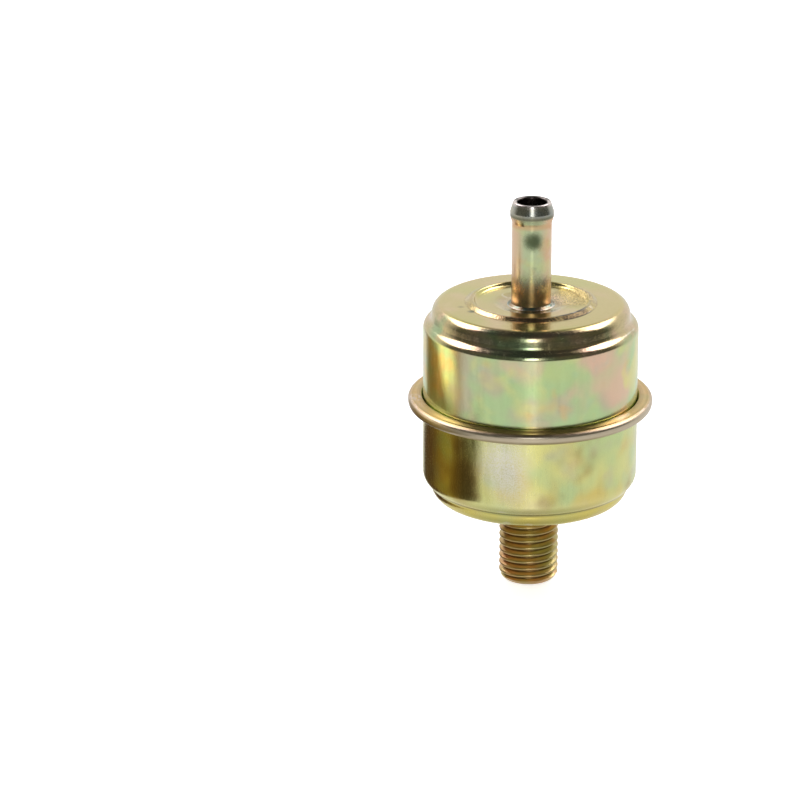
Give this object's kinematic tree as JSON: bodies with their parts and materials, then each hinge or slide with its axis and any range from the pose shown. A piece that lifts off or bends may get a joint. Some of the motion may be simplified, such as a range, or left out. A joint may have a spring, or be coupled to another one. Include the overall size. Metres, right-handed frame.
{
  "type": "fuel filter",
  "caption": "Screw-in metal canister fuel filter with a rolled seam, a beaded hose nipple on one end and a threaded hexagon fitting on the other.",
  "frame": {"origin": "centre of the flat end face of the male thread, the lowest point of the filter", "axes": "+Z along the canister from the thread towards the hose nipple, +Y and -Y square to two flats of the hexagon"},
  "size_m": [0.049, 0.049, 0.0797],
  "materials": {
    "shell_plating": "bright yellow zinc plating with green and pink tints",
    "fitting_plating": "copper-gold yellow zinc plating over a turned surface",
    "tube_plating": "bright plated tube, green and pink, with a dark steel bead",
    "braze": "bubbly braze under blue-green plating",
    "tinplate": "satin tinned sheet",
    "spring_steel": "oiled spring wire",
    "filter_paper": "resin-treated filter paper",
    "adhesive": "cured plastisol",
    "rubber": "moulded nitrile",
    "seam_compound": "dried sealing compound"
  },
  "bodies": {
    "canister": {"inlet_shell": "shell_plating", "outlet_shell": "shell_plating", "seam_seal": "seam_compound", "inlet_tube": "tube_plating", "inlet_braze": "braze", "outlet_fitting": "fitting_plating", "outlet_braze": "braze", "element_spring": "spring_steel"},
    "cartridge": {"upper_end_cap": "tinplate", "upper_potting": "adhesive", "filter_media": "filter_paper", "media_seam_clip": "tinplate", "core_tube": "tinplate", "lower_potting": "adhesive", "lower_end_cap": "tinplate", "outlet_seal": "rubber"}
  },
  "joints": [
    {"name": "element_lift", "type": "slide", "parent": "canister", "child": "cartridge", "axis": [0, 0, 1], "range_m": [0, 0.002], "stiffness_N_per_m": 300, "springref_m": -0.01, "deforming": ["element_spring"]}
  ]
}
